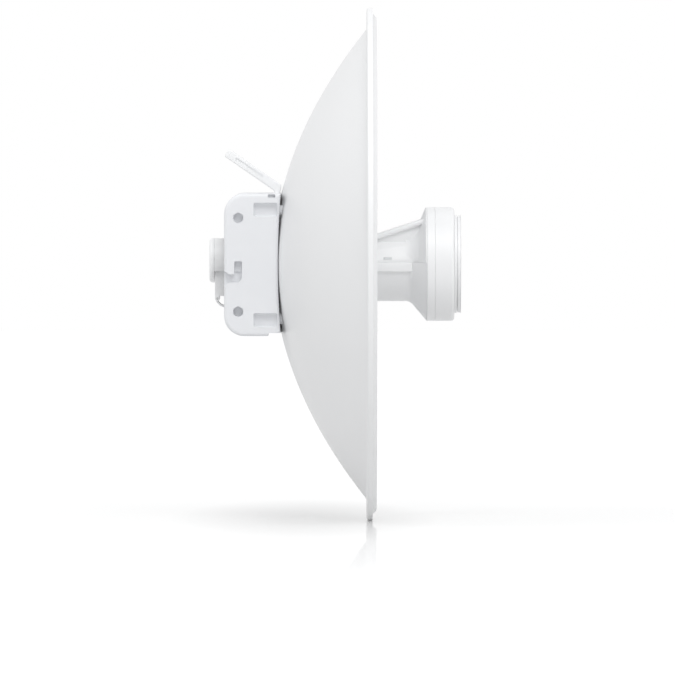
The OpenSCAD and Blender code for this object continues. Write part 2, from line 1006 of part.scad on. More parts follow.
module tail_cap() {
    back = tail_x - tail_cap_t;
    color("white")
        translate([0, 0, hood_z])
            spun()
                polygon([
                    [0, back], [hood_r - 3, back], [hood_r - 0.8, back + 1.1], [hood_r, back + 3],
                    [hood_r, tail_x - JOIN_GAP], [0, tail_x - JOIN_GAP]
                ]);
}

module tail_screws() {
    head_x = barrel_x - tail_ear_t - tail_screw_head_t;
    color("silver")
        for (side = [-1, 1])
            translate([0, side * tail_screw_y, hood_z]) {
                rod_x(head_x, tail_screw_head_r, tail_screw_head_t - JOIN_GAP);
                rod_x(head_x + CUT, tail_screw_r, tail_screw_head_t + tail_ear_t + barrel_t - CUT);
            }
}

// The flap's outline: a quarter ring below the tail, cut off at its reach
module door_outline() {
    intersection() {
        translate([tail_x + block_inset + door_drop, block_floor - MOVE_GAP])
            difference() {
                circle(r = door_drop);
                circle(r = door_drop - door_t);
            }
        translate([tail_x, block_floor - MOVE_GAP - door_drop])
            square([block_inset + door_reach, door_pin_z - block_floor + MOVE_GAP + door_drop]);
    }
    translate([door_pin_x, door_pin_z])
        circle(r = door_knuckle_r);
}

module port_door() {
    color("white")
        difference() {
            side_slab(2 * door_half)
                door_outline();
            translate([door_pin_x, 0, door_pin_z])
                rod_y(door_pin_r + pin_play, 2 * block_half);
        }
}

module door_pin() {
    color("silver")
        translate([door_pin_x, 0, door_pin_z])
            rod_y(door_pin_r, 2 * block_half);
}

dish_reflector();
rim_ring();
dish_bracket();
dish_pads();
feed_collar();
dish_screws();
dish_washers();
dish_nuts();
lever_pin();
latch_lever();
feed_barrel();
barrel_seal();
neck_lower_shell();
neck_upper_shell();
light_pipe();
head_ring();
head_shell();
cap_seal();
front_cap();
radiator_board();
patch_plate();
patch_posts();
ground_plate();
board_posts();
radio_board();
shield_cans();
main_board();
network_jack();
reset_button();
tail_shell();
tail_cap();
tail_screws();
port_door();
door_pin();
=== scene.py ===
import math

import bmesh
import bpy
from mathutils import Matrix, Vector


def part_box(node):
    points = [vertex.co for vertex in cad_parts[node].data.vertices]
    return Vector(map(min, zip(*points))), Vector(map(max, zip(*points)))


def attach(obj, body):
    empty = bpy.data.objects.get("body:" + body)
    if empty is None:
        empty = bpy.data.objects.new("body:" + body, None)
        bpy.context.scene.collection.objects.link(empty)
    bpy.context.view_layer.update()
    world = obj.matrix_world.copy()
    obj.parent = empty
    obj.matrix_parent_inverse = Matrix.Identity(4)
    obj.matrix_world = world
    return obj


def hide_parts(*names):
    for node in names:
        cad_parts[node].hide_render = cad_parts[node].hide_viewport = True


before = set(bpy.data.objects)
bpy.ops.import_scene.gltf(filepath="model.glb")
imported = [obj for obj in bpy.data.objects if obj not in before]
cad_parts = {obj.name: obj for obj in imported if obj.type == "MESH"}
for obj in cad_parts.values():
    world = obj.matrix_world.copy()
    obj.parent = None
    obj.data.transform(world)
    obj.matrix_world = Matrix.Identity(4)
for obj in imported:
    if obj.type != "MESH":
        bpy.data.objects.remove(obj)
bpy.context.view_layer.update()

MM = 0.001
FULL_TURN = 2 * math.pi
DISH_STEPS = 240
ROUND_STEPS = 128
SMALL_STEPS = 48
HOLE_SIDES = 24
BORE_SIDES = 32
ARC_STEP = math.radians(11)
CUT = 2 * MM


# ---------- places and sizes, from the frame ----------

dish_low, dish_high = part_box("dish_reflector")
ring_low, ring_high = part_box("rim_ring")
bracket_low, bracket_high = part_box("dish_bracket")
neck_low, neck_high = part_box("neck_lower_shell")
head_ring_low, head_ring_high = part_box("head_ring")
head_low, head_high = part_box("head_shell")
cap_low, cap_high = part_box("front_cap")
tail_cap_low, tail_cap_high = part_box("tail_cap")
pin_low, pin_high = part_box("lever_pin")
lever_low, lever_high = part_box("latch_lever")
screw_low, screw_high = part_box("dish_screws")
washer_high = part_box("dish_washers")[1]

# Dish
rim_r = dish_high.y
sheet_t = 1.4 * MM
flange_w = 17.3 * MM
lip = 4.9 * MM
lip_x = dish_high.x
flange_x = lip_x - lip
seat_x = dish_low.x
port_r = 37 * MM
seat_r = port_r + 9 * MM
bowl_r = rim_r - flange_w
focal_length = (bowl_r ** 2 - seat_r ** 2) / (4 * (flange_x - seat_x))

# Bracket
rear_x = bracket_low.x
front_x = rear_x + 44.5 * MM
front_hollow = 0.5 * MM
sagitta = 2.2 * MM
half_w = bracket_high.y
half_h = bracket_high.z
wall = 3 * MM
wall_lap = 1.5 * MM
rear_corner_r = 16.5 * MM
edge_round = 2.9 * MM
screw_y = half_w - 12 * MM
screw_z = half_h - 14.2 * MM
lock_z = 38.2 * MM
lock_r = 4 * MM
screw_hole_r = 2.75 * MM
pin_bore_r = 2.05 * MM
lever_play = 0.3 * MM
lever_w = lever_high.y - lever_low.y

# Feed
split_z = neck_high.z
neck_x = neck_low.x
head_x = neck_high.x
head_r = head_ring_high.z
neck_r = 30.4 * MM
shell_t = 2.2 * MM
flat_y = 27 * MM
flat_top = 18.4 * MM
ledge_low = -6 * MM
hood_z = (tail_cap_low.z + tail_cap_high.z) / 2
hood_r = (tail_cap_high.z - tail_cap_low.z) / 2
pivot = Vector(((pin_low.x + pin_high.x) / 2, 0, (pin_low.z + pin_high.z) / 2))


# ---------- making meshes ----------

def to_object(name, bm):
    """Ends a bmesh as an object in the scene."""
    mesh = bpy.data.meshes.new(name)
    bm.to_mesh(mesh)
    bm.free()
    thing = bpy.data.objects.new(name, mesh)
    bpy.context.scene.collection.objects.link(thing)
    return thing


def rounded(corners):
    """A closed outline of (u, v, radius) corners, each corner's round drawn as an arc."""
    points = []
    for i, (u, v, radius) in enumerate(corners):
        here = Vector((u, v))
        before = (Vector(corners[i - 1][:2]) - here).normalized()
        after = (Vector(corners[(i + 1) % len(corners)][:2]) - here).normalized()
        if radius <= 0:
            points.append(here)
            continue
        half = before.angle(after) / 2
        centre = here + (before + after).normalized() * (radius / math.sin(half))
        start = here + before * (radius / math.tan(half)) - centre
        end = here + after * (radius / math.tan(half)) - centre
        turn = math.copysign(math.pi - 2 * half, start.x * end.y - start.y * end.x)
        count = max(2, math.ceil(abs(turn) / ARC_STEP))
        for k in range(count + 1):
            points.append(centre + Matrix.Rotation(turn * k / count, 2) @ start)
    return [(p.x, p.y) for p in points]


def spun(name, outline, steps=ROUND_STEPS, closed=True, centre_z=0.0):
    """Turns an outline of (radius, x) points about the feed's axis, or one parallel to it."""
    bm = bmesh.new()
    ring = [bm.verts.new((x, 0, centre_z + r)) for r, x in outline]
    first = 0 if closed else 1
    edges = [bm.edges.new((ring[i - 1], ring[i])) for i in range(first, len(ring))]
    bmesh.ops.spin(
        bm, geom=ring + edges, cent=(0, 0, centre_z), axis=(1, 0, 0), dvec=(0, 0, 0),
        angle=FULL_TURN, steps=steps, use_merge=True, use_duplicate=False
    )
    bmesh.ops.remove_doubles(bm, verts=bm.verts, dist=1e-6)
    bmesh.ops.recalc_face_normals(bm, faces=bm.faces)
    return to_object(name, bm)


def slab(name, outline, y_from, y_to, edge=0.0, segments=4):
    """Raises a side outline of (x, z) points along Y, with its two faces' edges rounded."""
    bm = bmesh.new()
    face = bm.faces.new([bm.verts.new((x, y_from, z)) for x, z in outline])
    raised = bmesh.ops.extrude_face_region(bm, geom=[face])["geom"]
    moved = [v for v in raised if isinstance(v, bmesh.types.BMVert)]
    bmesh.ops.translate(bm, verts=moved, vec=(0, y_to - y_from, 0))
    bmesh.ops.recalc_face_normals(bm, faces=bm.faces)
    if edge:
        rims = [e for e in bm.edges if abs(e.verts[0].co.y - e.verts[1].co.y) < 1e-7]
        bmesh.ops.bevel(
            bm, geom=rims, offset=edge, offset_type="OFFSET", affect="EDGES",
            segments=segments, profile=0.5, material=-1, clamp_overlap=True
        )
    return to_object(name, bm)


def box(name, low, high, edge=0.0, segments=3):
    """A box between two corners, with all its edges rounded."""
    bm = bmesh.new()
    low, high = Vector(low), Vector(high)
    bmesh.ops.create_cube(bm, size=1)
    bmesh.ops.scale(bm, verts=bm.verts, vec=high - low)
    bmesh.ops.translate(bm, verts=bm.verts, vec=(low + high) / 2)
    if edge:
        bmesh.ops.bevel(
            bm, geom=bm.edges[:], offset=edge, offset_type="OFFSET", affect="EDGES",
            segments=segments, profile=0.5, material=-1, clamp_overlap=True
        )
    return to_object(name, bm)


def span(name, near, far, edge=0.0):
    """A box between any two opposite corners."""
    low = [min(a, b) for a, b in zip(near, far)]
    high = [max(a, b) for a, b in zip(near, far)]
    return box(name, low, high, edge)


def rod(name, start, along, radius, sides=SMALL_STEPS, end_radius=None):
    """A round, six-sided or tapered rod from a start point."""
    bm = bmesh.new()
    along = Vector(along)
    bmesh.ops.create_cone(
        bm, cap_ends=True, cap_tris=False, segments=sides, radius1=radius,
        radius2=radius if end_radius is None else end_radius, depth=along.length
    )
    bmesh.ops.translate(bm, verts=bm.verts, vec=(0, 0, along.length / 2))
    turn = Vector((0, 0, 1)).rotation_difference(along.normalized())
    bmesh.ops.rotate(bm, verts=bm.verts, cent=(0, 0, 0), matrix=turn.to_matrix())
    bmesh.ops.translate(bm, verts=bm.verts, vec=start)
    return to_object(name, bm)


def settle(thing):
    """Works the modifiers of a piece into its mesh."""
    graph = bpy.context.evaluated_depsgraph_get()
    mesh = bpy.data.meshes.new_from_object(thing.evaluated_get(graph))
    thing.modifiers.clear()
    thing.data = mesh
    return thing


def combine(thing, others, operation):
    """Joins other solids to a piece, or takes them away, and removes them."""
    for other in others:
        tool = thing.modifiers.new(operation.lower(), "BOOLEAN")
        tool.operation = operation
        tool.solver = "EXACT"
        tool.object = other
    settle(thing)
    for other in others:
        bpy.data.objects.remove(other)
    return thing


def ease(thing, width, segments=2, angle=38):
    """Rounds the sharp edges that are left on a piece."""
    soft = thing.modifiers.new("edges", "BEVEL")
    soft.width = width
    soft.segments = segments
    soft.limit_method = "ANGLE"
    soft.angle_limit = math.radians(angle)
    soft.harden_normals = False
    return thing


def smooth(thing, angle=32):
    """Smooth shading, with edges over an angle kept crisp."""
    thing.data.shade_smooth()
    thing.data.set_sharp_from_angle(angle=math.radians(angle))
    return thing


def traced(name, node):
    """A merged copy of a CAD node's mesh, to be finished as a new piece."""
    bm = bmesh.new()
    bm.from_mesh(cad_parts[node].data)
    bmesh.ops.remove_doubles(bm, verts=bm.verts, dist=2e-6)
    bmesh.ops.dissolve_limit(
        bm, angle_limit=math.radians(1.0), use_dissolve_boundaries=False,
        verts=bm.verts, edges=bm.edges, delimit={"NORMAL"}
    )
    return to_object(name, bm)


def dress(thing, body, slot, material, *nodes):
    """Gives a piece its finish, the body it moves with and the nodes it stands for."""
    thing.data.materials.clear()
    thing.data.materials.append(material)
    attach(thing, body)
    if nodes:
        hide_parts(*nodes)
    return thing


# ---------- finishes ----------

def finish(name, colour, roughness, metallic=0.0):
    """A new material and its shader."""
    material = bpy.data.materials.new(name)
    material.use_nodes = True
    material.diffuse_color = (*colour, 1)
    shader = material.node_tree.nodes["Principled BSDF"]
    shader.inputs["Base Color"].default_value = (*colour, 1)
    shader.inputs["Roughness"].default_value = roughness
    shader.inputs["Metallic"].default_value = metallic
    return material, shader


def noise(material, scale, detail=2.0, stretch=(1, 1, 1)):
    """A noise pattern on the object's coordinates; its scale is in waves per metre."""
    nodes, links = material.node_tree.nodes, material.node_tree.links
    place = nodes.new("ShaderNodeTexCoord")
    mapping = nodes.new("ShaderNodeMapping")
    mapping.inputs["Scale"].default_value = stretch
    pattern = nodes.new("ShaderNodeTexNoise")
    pattern.inputs["Scale"].default_value = scale
    pattern.inputs["Detail"].default_value = detail
    links.new(place.outputs["Object"], mapping.inputs["Vector"])
    links.new(mapping.outputs["Vector"], pattern.inputs["Vector"])
    return pattern.outputs["Fac"]


def tint(material, shader, pattern, low, high, start=0.35, end=0.65):
    """Lets a pattern vary the colour between two close tones."""
    nodes, links = material.node_tree.nodes, material.node_tree.links
    ramp = nodes.new("ShaderNodeValToRGB")
    ramp.color_ramp.elements[0].position = start
    ramp.color_ramp.elements[0].color = (*low, 1)
    ramp.color_ramp.elements[1].position = end
    ramp.color_ramp.elements[1].color = (*high, 1)
    links.new(pattern, ramp.inputs["Fac"])
    links.new(ramp.outputs["Color"], shader.inputs["Base Color"])


def wear(material, shader, pattern, low, high):
    """Lets a pattern vary the roughness."""
    nodes, links = material.node_tree.nodes, material.node_tree.links
    band = nodes.new("ShaderNodeMapRange")
    band.inputs["To Min"].default_value = low
    band.inputs["To Max"].default_value = high
    links.new(pattern, band.inputs["Value"])
    links.new(band.outputs["Result"], shader.inputs["Roughness"])


def relief(material, shader, layers):
    """Adds (pattern, height in metres, strength) layers of surface relief, one on another."""
    nodes, links = material.node_tree.nodes, material.node_tree.links
    last = None
    for pattern, height, strength in layers:
        bump = nodes.new("ShaderNodeBump")
        bump.inputs["Distance"].default_value = height
        bump.inputs["Strength"].default_value = strength
        links.new(pattern, bump.inputs["Height"])
        if last:
            links.new(last, bump.inputs["Normal"])
        last = bump.outputs["Normal"]
    links.new(last, shader.inputs["Normal"])


def shade(colour, factor):
    return tuple(c * factor for c in colour)


def painted_metal():
    """White powder coat on formed sheet: a fine orange peel and a hardly seen drift of tone."""
    white = (0.84, 0.845, 0.85)
    material, shader = finish("dish_powder_coat", white, 0.42)
    tint(material, shader, noise(material, 9, 3), shade(white, 0.985), white)
    wear(material, shader, noise(material, 60, 3), 0.38, 0.48)
    relief(material, shader, [
        (noise(material, 420, 2), 0.00012, 0.35),
        (noise(material, 1500, 1), 0.00004, 0.25),
    ])
    shader.inputs["Coat Weight"].default_value = 0.12
    shader.inputs["Coat Roughness"].default_value = 0.2
    return material


def moulded_plastic(name, colour, roughness, grain, depth):
    """Moulded plastic with a spark-eroded grain and slight flow marks."""
    material, shader = finish(name, colour, roughness)
    tint(material, shader, noise(material, 30, 4, (0.35, 1, 1)), shade(colour, 0.985), colour)
    wear(material, shader, noise(material, 140, 3), roughness - 0.05, roughness + 0.06)
    relief(material, shader, [
        (noise(material, grain, 3), depth, 0.4),
        (noise(material, grain * 0.12, 2), depth * 2, 0.12),
    ])
    return material


# Dark rubber for the seals; on the dish's seat pads its darkness also stands in, as painted shade, for
# the shadow in the gap between bracket and dish.
def dark_rubber_and_gap_shade():
    material, shader = finish("seal_rubber_and_gap_shade", (0.1, 0.1, 0.105), 0.78)
    tint(material, shader, noise(material, 300, 4), (0.085, 0.085, 0.09), (0.12, 0.12, 0.125))
    relief(material, shader, [(noise(material, 2600, 3), 0.00006, 0.5)])
    return material


def plated_steel():
    material, shader = finish("zinc_plated_steel", (0.62, 0.62, 0.61), 0.34, 1.0)
    tint(material, shader, noise(material, 260, 4), (0.54, 0.545, 0.55), (0.68, 0.675, 0.66))
    wear(material, shader, noise(material, 500, 4), 0.26, 0.44)
    relief(material, shader, [(noise(material, 1800, 2, (0.2, 1, 1)), 0.00002, 0.4)])
    return material


def fibre_board():
    """Green solder mask with copper paths that show through it a little."""
    material, shader = finish("circuit_board_green", (0.02, 0.14, 0.05), 0.35)
    nodes, links = material.node_tree.nodes, material.node_tree.links
    place = nodes.new("ShaderNodeTexCoord")
    turn = nodes.new("ShaderNodeMapping")
    turn.inputs["Rotation"].default_value = (0, math.pi / 2, 0)
    paths = nodes.new("ShaderNodeTexBrick")
    paths.inputs["Scale"].default_value = 90
    paths.inputs["Mortar Size"].default_value = 0.035
    paths.inputs["Color1"].default_value = (0.018, 0.13, 0.045, 1)
    paths.inputs["Color2"].default_value = (0.022, 0.15, 0.055, 1)
    paths.inputs["Mortar"].default_value = (0.06, 0.27, 0.1, 1)
    links.new(place.outputs["Object"], turn.inputs["Vector"])
    links.new(turn.outputs["Vector"], paths.inputs["Vector"])
    links.new(paths.outputs["Color"], shader.inputs["Base Color"])
    wear(material, shader, noise(material, 400, 3), 0.28, 0.42)
    return material


def brushed_metal(name, colour, roughness, stretch):
    material, shader = finish(name, colour, roughness, 1.0)
    tint(material, shader, noise(material, 200, 3, stretch), shade(colour, 0.92), colour)
    wear(material, shader, noise(material, 900, 3, stretch), roughness - 0.06, roughness + 0.1)
    relief(material, shader, [(noise(material, 1600, 2, stretch), 0.00002, 0.35)])
    return material


def clear_guide():
    material, shader = finish("light_guide_clear", (0.9, 0.92, 0.93), 0.25)
    shader.inputs["Transmission Weight"].default_value = 0.12
    shader.inputs["IOR"].default_value = 1.49
    tint(material, shader, noise(material, 500, 3), (0.84, 0.87, 0.88), (0.93, 0.95, 0.96))
    relief(material, shader, [(noise(material, 2200, 2), 0.00003, 0.4)])
    return material


PAINT = painted_metal()
SHELL_WHITE = moulded_plastic("bracket_shell_white", (0.8, 0.81, 0.83), 0.48, 2400, 0.00005)
FEED_WHITE = moulded_plastic("feed_shell_white", (0.88, 0.885, 0.89), 0.4, 3000, 0.00003)
CAP_WHITE = moulded_plastic("cap_shell_white", (0.875, 0.88, 0.885), 0.36, 3200, 0.00003)
LEVER_WHITE = moulded_plastic("lever_white", (0.89, 0.895, 0.9), 0.44, 2600, 0.00004)
BUTTON_GREY = moulded_plastic("button_grey", (0.32, 0.33, 0.34), 0.5, 2600, 0.00004)
RUBBER_AND_GAP_SHADE = dark_rubber_and_gap_shade()
STEEL = plated_steel()
BOARD = fibre_board()
BRASS = brushed_metal("brass_plate_bright", (0.72, 0.52, 0.2), 0.3, (1, 0.1, 1))
ALUMINIUM = brushed_metal("aluminium_plate", (0.72, 0.73, 0.74), 0.36, (1, 1, 0.08))
GUIDE = clear_guide()


# ---------- dish ----------

def bowl_x(r):
    """Height along the axis of the bowl's back surface at a radius."""
    return flange_x - (bowl_r ** 2 - r ** 2) / (4 * focal_length)


def make_reflector():
    """One formed sheet: flat seat, bowl, flange and turned lip, with pressed radii."""
    bowl_steps = 40
    flange_bend, inner_flange_bend = 3.2 * MM, 2.4 * MM
    lip_bend, inner_lip_bend = 1.9 * MM, 0.6 * MM
    drain_r, drain_sides = 1.2 * MM, 16
    bowl = [
        (seat_r + (bowl_r - seat_r) * i / bowl_steps) for i in range(1, bowl_steps)
    ]
    back = [(port_r, seat_x, 0), (seat_r, seat_x, 0)]
    back += [(r, bowl_x(r), 0) for r in bowl]
    back += [
        (bowl_r, flange_x, flange_bend), (rim_r, flange_x, lip_bend), (rim_r, lip_x, 0)
    ]
    front_r = rim_r - sheet_t
    front = [
        (front_r, lip_x, 0), (front_r, flange_x + sheet_t, inner_lip_bend),
        (bowl_r, flange_x + sheet_t, inner_flange_bend)
    ]
    front += [(r, bowl_x(r) + sheet_t, 0) for r in reversed(bowl)]
    front += [(seat_r, seat_x + sheet_t, 0), (port_r, seat_x + sheet_t, 0)]
    dish = spun("reflector", rounded(back + front), DISH_STEPS)
    drain_from = (flange_x + lip / 2, 0, -rim_r - CUT)
    drain = rod("drain", drain_from, (0, 0, 3 * CUT), drain_r, drain_sides)
    holes = [
        rod("screw_hole", (seat_x, y, z), (20 * MM, 0, 0), screw_hole_r, HOLE_SIDES)
        for y in (-screw_y, screw_y) for z in (-screw_z, screw_z)
    ]
    combine(dish, [drain] + holes, "DIFFERENCE")
    smooth(dish, 28)
    return dress(dish, "dish", "dish_paint", PAINT, "dish_reflector")


def make_rim_ring():
    """The moulded ring inside the lip: a stepped, bevelled outer edge and a rounded inner one."""
    inner = bowl_r + 1 * MM
    outer = rim_r - sheet_t - 0.15 * MM
    step_r = rim_r - 4.5 * MM
    face_r = step_r - 3.3 * MM
    back_x, front = ring_low.x, ring_high.x
    crisp, soft = 0.3 * MM, 0.9 * MM
    bead, bead_drop = 1.2 * MM, 2.6 * MM
    ring = spun("rim_ring_cover", rounded([
        (inner, back_x, 0), (outer, back_x, 0), (outer, lip_x, crisp),
        (step_r, lip_x, crisp), (face_r, front, soft),
        (inner + bead, front, bead), (inner, front - bead_drop, soft)
    ]), DISH_STEPS)
    smooth(ring, 30)
    return dress(ring, "dish", "dish_paint", PAINT, "rim_ring")


# ---------- bracket ----------

def front_edge_x(z):
    """The bracket's curved front edge."""
    radius = (half_h ** 2 + sagitta ** 2) / (2 * sagitta)
    return front_x - front_hollow + radius - math.sqrt(radius ** 2 - z ** 2)


def bracket_side(inset, reach=0.0):
    """The bracket's side outline, drawn in by an inset, its front edge curved or reaching past."""
    low_x, high_z = rear_x + inset, half_h - inset
    corner = rear_corner_r - inset
    steps = 14
    if reach:
        front = [(front_x + reach, high_z, 0), (front_x + reach, -high_z, 0)]
    else:
        levels = [high_z * (1 - 2 * i / steps) for i in range(steps + 1)]
        front = [(front_edge_x(z), z, 0) for z in levels]
    return rounded([(low_x, -high_z, corner), (low_x, high_z, corner)] + front)


def slot_outline():
    """The hanging bolt's way: in from the rear edge, then up to its seat."""
    half, top, floor, roof = 3.15 * MM, 3 * MM, -14.4 * MM, -7.8 * MM
    mouth_x, mouth_top, mouth_floor = rear_x + 3.8 * MM, -2.9 * MM, -20 * MM
    seat_round, hook_round, roof_round, bend_round = 1.1 * MM, 1.6 * MM, 1.2 * MM, 4.9 * MM
    return rounded([
        (rear_x - CUT, mouth_top, 0), (mouth_x, roof, roof_round), (-half, roof, hook_round),
        (-half, top, seat_round), (half, top, seat_round), (half, floor, bend_round),
        (mouth_x, floor, hook_round), (rear_x - CUT, mouth_floor, 0)
    ])


def hole_depth(level):
    """The lower lock holes go a little deeper than the upper ones."""
    return 6 * MM if level > 0 else 7 * MM


def slot_step_outline():
    """The slot's lower part, where its floor lies deeper than it does at the seat."""
    half, ledge, floor = 2.9 * MM, -5.5 * MM, -14.2 * MM
    mouth_x, mouth_floor = rear_x + 4 * MM, -19.8 * MM
    bend_round, mouth_round = 4.6 * MM, 1.6 * MM
    return rounded([
        (rear_x - CUT, ledge, 0), (half, ledge, 0), (half, floor, bend_round),
        (mouth_x, floor, mouth_round), (rear_x - CUT, mouth_floor, 0)
    ])


def rectangle(low_x, low_z, high_x, high_z, corner):
    """A side outline of a rectangle with rounded corners."""
    return rounded([
        (low_x, low_z, corner), (high_x, low_z, corner),
        (high_x, high_z, corner), (low_x, high_z, corner)
    ])


def side_cutters(side):
    """What is cut into one side face: slot, lock holes, pockets and the small top slot."""
    slot_floor, slot_step, overlap = 5.4 * MM, 6.8 * MM, 0.1 * MM
    bore_sides, hex_r, hex_depth = 36, 4.9 * MM, 1 * MM
    pocket_x, pocket_end, pocket_depth = 12.5 * MM, front_x - 1 * MM, 5 * MM
    pocket_low, pocket_high = half_h - 18.9 * MM, half_h - 7.4 * MM
    pocket_round, pocket_edge, pocket_over = 1.6 * MM, 1.5 * MM, 3 * MM
    beyond, floor_y = side * (half_w + CUT), side * (half_w - slot_floor)
    cutters = [
        slab("slot", slot_outline(), floor_y, beyond),
        slab("slot_step", slot_step_outline(), side * (half_w - slot_step), floor_y + side * overlap)
    ]
    for level in (-1, 1):
        mouth, inward = Vector((0, beyond, level * lock_z)), Vector((0, -side, 0))
        cutters.append(rod("bore", mouth, inward * (hole_depth(level) + CUT), lock_r, bore_sides))
        cutters.append(rod("hex", mouth, inward * (hex_depth + CUT), hex_r, 6))
        low, high = sorted((level * pocket_low, level * pocket_high))
        pocket = rectangle(pocket_x, low, pocket_end, high, pocket_round)
        cutters.append(slab("pocket", pocket, side * (half_w - pocket_depth),
                            side * (half_w + pocket_over), pocket_edge))
    small = rectangle(24.2 * MM, half_h - 3.3 * MM, 30.2 * MM, half_h - 0.6 * MM, 0.8 * MM)
    cutters.append(slab("small_slot", small, side * (half_w - 4 * MM), beyond))
    return cutters


def room_for_dish():
    """The space in front of the bracket that the dish's back takes, with a hair of play."""
    steps, play = 12, 0.15 * MM
    reach = 2.4 * half_h
    levels = [seat_r + (reach - seat_r) * i / steps for i in range(steps + 1)]
    back = [(r, bowl_x(r) - play) for r in levels]
    front = bowl_x(reach) + CUT
    outline = [(0, front), (0, seat_x - play)] + back + [(reach, front)]
    return spun("room", outline, 96, False)


def bracket_corner(side, level):
    """A corner block, the boss behind a lock hole and the screw's boss that meets the dish."""
    block_x, block_y, block_z = 10 * MM, half_w - 18 * MM, half_h - 22 * MM
    block_front, block_edge = front_x - 0.6 * MM, 0.8 * MM
    depth, boss_floor, boss_r = hole_depth(level), 2.5 * MM, 7.5 * MM
    seat_back, seat_len, seat_boss_r = 6 * MM, 14 * MM, 4.6 * MM
    near = (block_x, side * block_y, level * block_z)
    far = (block_front, side * (half_w - wall_lap), level * (half_h - wall_lap))
    boss_from = (0, side * (half_w - depth - boss_floor), level * lock_z)
    seat_from = (front_x - seat_back, side * screw_y, level * screw_z)
    return [
        span("block", near, far, block_edge),
        rod("boss", boss_from, (0, side * depth, 0), boss_r),
        rod("seat", seat_from, (seat_len, 0, 0), seat_boss_r)
    ]


def bracket_side_pieces(side):
    """The block that the slot is cut into and the ear that holds the lever's pin."""
    block_w, block_edge = 9 * MM, 0.6 * MM
    near = (rear_x + wall_lap, side * (half_w - block_w), -22 * MM)
    far = (8 * MM, side * (half_w - wall_lap), 7 * MM)
    back, front, ear_round, ear_t = 4.2 * MM, 2.2 * MM, 4 * MM, 3.2 * MM
    top, bottom, ear_y = half_h - 2 * MM, pivot.z - back, side * (lever_w / 2 + lever_play)
    ear = rounded([
        (pivot.x - back, top, 0), (pivot.x - back, bottom, ear_round),
        (pivot.x + front, bottom, ear_round), (pivot.x + front, top, 0)
    ])
    return [
        span("slot_block", near, far, block_edge),
        slab("ear", ear, ear_y, ear_y + side * ear_t)
    ]


def bracket_openings():
    """Ways for the feed's tail and the lever, the lower step, and bores for pin and screws."""
    gap = lever_w / 2 + lever_play
    bore_x, bore_len, nut_len, nut_r = 8 * MM, 40 * MM, 7.6 * MM, 5 * MM
    openings = [
        rod("tail_way", (rear_x - CUT, 0, 0), (wall + 2 * CUT, 0, 0), port_r, 96),
        box("lever_way", (pivot.x - 7 * MM, -gap, half_h - 4 * MM), (front_x + CUT, gap, half_h + CUT)),
        box("lower_step", (front_x - 8.6 * MM, -half_w - CUT, -half_h - CUT),
            (front_x + CUT, half_w + CUT, 2.5 * MM - half_h)),
        rod("pin_bore", (pivot.x, -lever_w, pivot.z), (0, 2 * lever_w, 0), pin_bore_r, BORE_SIDES)
    ]
    for y in (-screw_y, screw_y):
        for z in (-screw_z, screw_z):
            start = (bore_x, y, z)
            openings.append(rod("screw_bore", start, (bore_len, 0, 0), screw_hole_r, HOLE_SIDES))
            openings.append(rod("nut_room", start, (nut_len, 0, 0), nut_r, 36))
    return openings


def make_bracket():
    """The box-shaped rear bracket: a hollow moulding with corner blocks, bosses and ears."""
    shell = slab("rear_bracket", bracket_side(0), -half_w, half_w, edge_round, 6)
    inside, inner_edge = half_w - wall, 1.4 * MM
    hollow = slab("hollow", bracket_side(wall, 6 * MM), -inside, inside, inner_edge)
    combine(shell, [hollow], "DIFFERENCE")
    added = []
    for side in (-1, 1):
        for level in (-1, 1):
            added += bracket_corner(side, level)
        added += bracket_side_pieces(side)
    combine(shell, added, "UNION")
    cutters = side_cutters(-1) + side_cutters(1) + [room_for_dish()] + bracket_openings()
    combine(shell, cutters, "DIFFERENCE")
    ease(shell, 0.45 * MM, 2, 40)
    smooth(shell, 32)
    return dress(shell, "dish", "white_plastic", SHELL_WHITE, "dish_bracket")


# ---------- lever ----------

